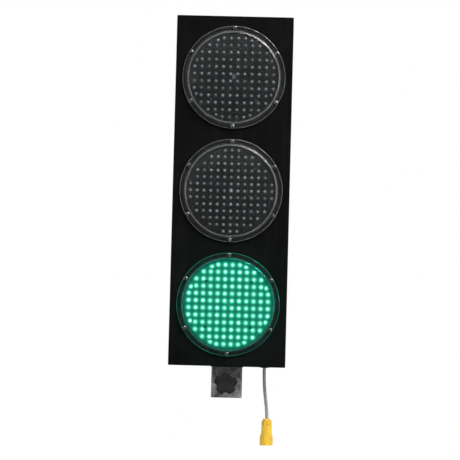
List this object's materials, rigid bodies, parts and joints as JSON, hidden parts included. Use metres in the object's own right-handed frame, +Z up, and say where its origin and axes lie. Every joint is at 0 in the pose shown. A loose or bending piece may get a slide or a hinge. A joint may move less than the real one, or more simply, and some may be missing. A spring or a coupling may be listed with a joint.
{
  "type": "traffic signal head",
  "caption": "Upright black traffic signal head with red, amber and green LED lamps, on a square mast socket with a clamp screw, with a hinged rear door.",
  "frame": {"origin": "centre of the flat stop face inside the mast socket, where the mast's end rests", "axes": "+Z up along the mast's axis, -Y out of the lamps' faces, +X to the right as seen from in front of the lamps"},
  "size_m": [0.25, 0.1469, 0.918],
  "materials": {
    "housing_black": "satin black powder coat",
    "galvanised_steel": "galvanised",
    "zinc_steel": "zinc plated",
    "screw_black": "black oxide",
    "stainless": "stainless",
    "brass": "turned",
    "knob_black": "moulded, slightly grained",
    "hinge_black": "satin black powder coat",
    "clear_lens": "clear polycarbonate",
    "cup_plastic": "moulded",
    "led_board": "solder mask",
    "driver_board": "solder mask and components",
    "led_red": "water-clear epoxy",
    "led_amber": "water-clear epoxy",
    "led_green": "water-clear epoxy, lit green",
    "seal_rubber": "EPDM",
    "strip_plastic": "natural polyamide",
    "wire_insulation": "PVC",
    "cable_sheath": "grey PVC",
    "plug_yellow": "moulded"
  },
  "bodies": {
    "head": {"housing_shell": "housing_black", "mast_socket": "galvanised_steel", "socket_plate": "galvanised_steel", "socket_bolts": "zinc_steel", "socket_nuts": "zinc_steel", "clamp_nut": "zinc_steel", "lens_seals": "seal_rubber", "module_gaskets": "seal_rubber", "cup_grommets": "seal_rubber", "board_screws": "screw_black", "m4_screws": "stainless", "m4_nuts": "stainless", "terminal_strip": "strip_plastic", "terminal_clamps": "brass", "core_wires": "wire_insulation", "common_links": "wire_insulation", "supply_cable": "cable_sheath", "cable_grommet": "seal_rubber", "cord_bracket": "zinc_steel", "cord_clamp": "knob_black", "plug_gland": "plug_yellow", "plug_body": "plug_yellow", "plug_insert": "knob_black", "hinge_knuckles": "hinge_black", "hinge_pins": "stainless", "lens_red": "clear_lens", "lamp_cup_red": "cup_plastic", "led_board_red": "led_board", "leds_red": "led_red", "driver_red": "driver_board", "pigtail_red": "cable_sheath", "lens_amber": "clear_lens", "lamp_cup_amber": "cup_plastic", "led_board_amber": "led_board", "leds_amber": "led_amber", "driver_amber": "driver_board", "pigtail_amber": "cable_sheath", "lens_green": "clear_lens", "lamp_cup_green": "cup_plastic", "led_board_green": "led_board", "leds_green": "led_green", "driver_green": "driver_board", "pigtail_green": "cable_sheath"},
    "rear_door": {"rear_door": "housing_black", "door_seal": "seal_rubber", "hinge_leaves": "hinge_black", "hinge_rivets": "stainless", "latch_bodies": "zinc_steel", "latch_nuts": "zinc_steel"},
    "latch_upper": {"latch_spindle_upper": "zinc_steel", "latch_cam_upper": "zinc_steel", "latch_screw_upper": "zinc_steel"},
    "latch_lower": {"latch_spindle_lower": "zinc_steel", "latch_cam_lower": "zinc_steel", "latch_screw_lower": "zinc_steel"},
    "clamp_tip": {"clamp_tip": "brass"},
    "clamp_screw": {"clamp_stud": "zinc_steel", "star_knob": "knob_black"},
    "plug_ring": {"plug_ring": "plug_yellow"}
  },
  "joints": [
    {"name": "clamp_travel", "type": "slide", "parent": "head", "child": "clamp_tip", "axis": [0, 1, 0], "range_m": [0, 0.006]},
    {"name": "clamp_turn", "type": "hinge", "parent": "clamp_tip", "child": "clamp_screw", "pos_m": [0, -0.05, -0.037], "axis": [0, 1, 0], "range_deg": [0, 1440]},
    {"name": "door_hinge", "type": "hinge", "parent": "head", "child": "rear_door", "pos_m": [-0.117, 0.0597, 0.373], "axis": [0, 0, 1], "range_deg": [0, 110]},
    {"name": "latch_upper_turn", "type": "hinge", "parent": "rear_door", "child": "latch_upper", "pos_m": [0.084, 0.058, 0.556], "axis": [0, 1, 0], "range_deg": [0, 90]},
    {"name": "latch_lower_turn", "type": "hinge", "parent": "rear_door", "child": "latch_lower", "pos_m": [0.084, 0.058, 0.19], "axis": [0, 1, 0], "range_deg": [0, 90]},
    {"name": "plug_ring_turn", "type": "hinge", "parent": "head", "child": "plug_ring", "pos_m": [0.088, 0.025, -0.16], "axis": [0, 0, 1], "continuous": true}
  ],
  "couplings": [
    {"joint": "clamp_travel", "follows": "clamp_turn", "m_per_rad": 0.00023873}
  ]
}
